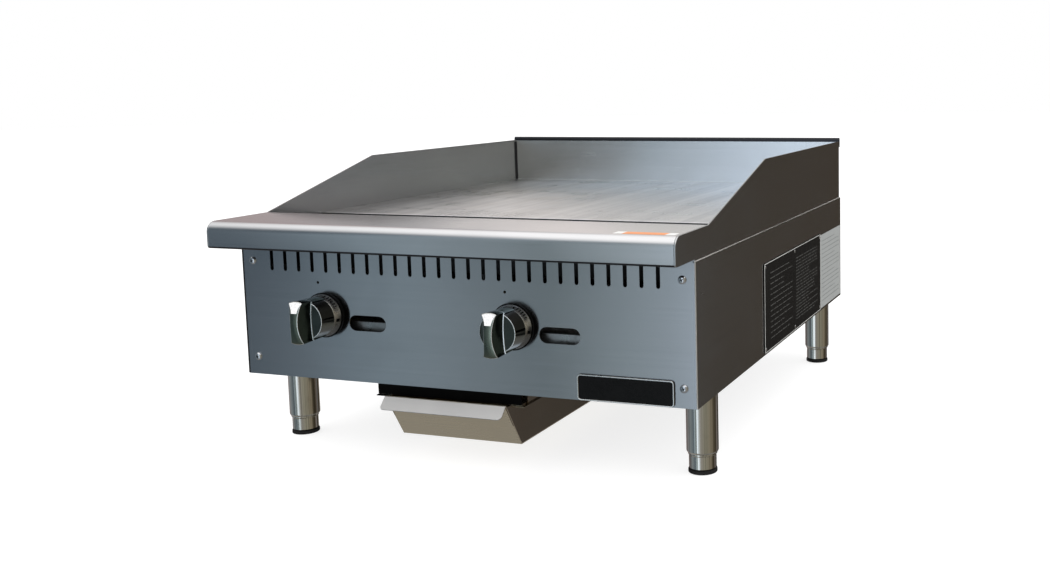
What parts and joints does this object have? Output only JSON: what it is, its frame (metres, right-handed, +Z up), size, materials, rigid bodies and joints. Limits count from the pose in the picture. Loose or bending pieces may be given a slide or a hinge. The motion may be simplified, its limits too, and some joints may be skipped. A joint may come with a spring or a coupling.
{
  "type": "flat top griddle",
  "caption": "Countertop gas flat-top griddle with a thick steel plate, splash guards, rotary control knobs, a sliding grease tray and height-adjustable legs.",
  "frame": {"origin": "on the ground plane, under the middle of the overall bounding box", "axes": "+Z up; -Y is the front with the knobs; +X is to the right seen from the front"},
  "size_m": [0.6121, 0.786, 0.3629],
  "materials": {
    "stainless": "brushed stainless sheet",
    "cooking_plate": "ground steel plate",
    "galvanised": "dull galvanised sheet",
    "black_steel": "matte black",
    "burner_iron": "heat-darkened iron",
    "gas_pipe": "black pipe",
    "brass": "machined brass",
    "knob_chrome": "dark chrome plating",
    "bezel_plastic": "black moulding",
    "leg_steel": "satin steel tube",
    "rubber": "matte rubber",
    "tray_steel": "satin stainless sheet",
    "badge": "gloss black, blank",
    "fastener": "bright plated"
  },
  "bodies": {
    "chassis": {"front_panel": "stainless", "left_side_panel": "stainless", "right_side_panel": "stainless", "rear_panel": "stainless", "front_ledge": "stainless", "left_splash": "stainless", "right_splash": "stainless", "back_splash": "stainless", "grease_trough": "stainless", "grease_chute": "stainless", "griddle_plate": "cooking_plate", "bottom_pan": "galvanised", "left_plate_rail": "galvanised", "right_plate_rail": "galvanised", "burner_support_front": "galvanised", "burner_support_rear": "galvanised", "pilot_tube_left": "galvanised", "pilot_tube_right": "galvanised", "tray_rail_left": "black_steel", "tray_rail_right": "black_steel", "tray_front_bar": "black_steel", "burner_left": "burner_iron", "burner_right": "burner_iron", "pilot_burner_left": "burner_iron", "pilot_burner_right": "burner_iron", "gas_manifold": "gas_pipe", "gas_inlet_pipe": "gas_pipe", "gas_valve_left": "brass", "gas_valve_right": "brass", "orifice_left": "brass", "orifice_right": "brass", "pilot_valve_left": "brass", "pilot_valve_right": "brass", "knob_bezel_left": "bezel_plastic", "knob_bezel_right": "bezel_plastic", "leg_front_left": "leg_steel", "leg_front_right": "leg_steel", "leg_rear_left": "leg_steel", "leg_rear_right": "leg_steel", "front_badge": "badge", "rating_plate": "badge", "panel_screw_lower_left": "fastener", "panel_screw_lower_right": "fastener", "panel_screw_upper_left": "fastener", "panel_screw_upper_right": "fastener"},
    "knob_push_left": {"stem_washer_left": "galvanised"},
    "knob_turn_left": {"knob_left": "knob_chrome", "valve_stem_left": "brass"},
    "knob_push_right": {"stem_washer_right": "galvanised"},
    "knob_turn_right": {"knob_right": "knob_chrome", "valve_stem_right": "brass"},
    "leveller_front_left": {"foot_front_left": "leg_steel", "foot_pad_front_left": "rubber"},
    "leveller_front_right": {"foot_front_right": "leg_steel", "foot_pad_front_right": "rubber"},
    "leveller_rear_left": {"foot_rear_left": "leg_steel", "foot_pad_rear_left": "rubber"},
    "leveller_rear_right": {"foot_rear_right": "leg_steel", "foot_pad_rear_right": "rubber"},
    "tray": {"grease_tray": "tray_steel"}
  },
  "joints": [
    {"name": "knob_push_left", "type": "slide", "parent": "chassis", "child": "knob_push_left", "axis": [0, 1, 0], "range_m": [0, 0.0025], "stiffness_N_per_m": 800, "springref_m": -0.004},
    {"name": "knob_turn_left", "type": "hinge", "parent": "knob_push_left", "child": "knob_turn_left", "pos_m": [-0.181, -0.332, 0.179], "axis": [0, -1, 0], "range_deg": [0, 90]},
    {"name": "knob_push_right", "type": "slide", "parent": "chassis", "child": "knob_push_right", "axis": [0, 1, 0], "range_m": [0, 0.0025], "stiffness_N_per_m": 800, "springref_m": -0.004},
    {"name": "knob_turn_right", "type": "hinge", "parent": "knob_push_right", "child": "knob_turn_right", "pos_m": [0.079, -0.332, 0.179], "axis": [0, -1, 0], "range_deg": [0, 90]},
    {"name": "foot_height_front_left", "type": "slide", "parent": "chassis", "child": "leveller_front_left", "axis": [0, 0, -1], "range_m": [0, 0.025]},
    {"name": "foot_height_front_right", "type": "slide", "parent": "chassis", "child": "leveller_front_right", "axis": [0, 0, -1], "range_m": [0, 0.025]},
    {"name": "foot_height_rear_left", "type": "slide", "parent": "chassis", "child": "leveller_rear_left", "axis": [0, 0, -1], "range_m": [0, 0.025]},
    {"name": "foot_height_rear_right", "type": "slide", "parent": "chassis", "child": "leveller_rear_right", "axis": [0, 0, -1], "range_m": [0, 0.025]},
    {"name": "tray_slide", "type": "slide", "parent": "chassis", "child": "tray", "axis": [0, -1, 0], "range_m": [0, 0.38]}
  ]
}
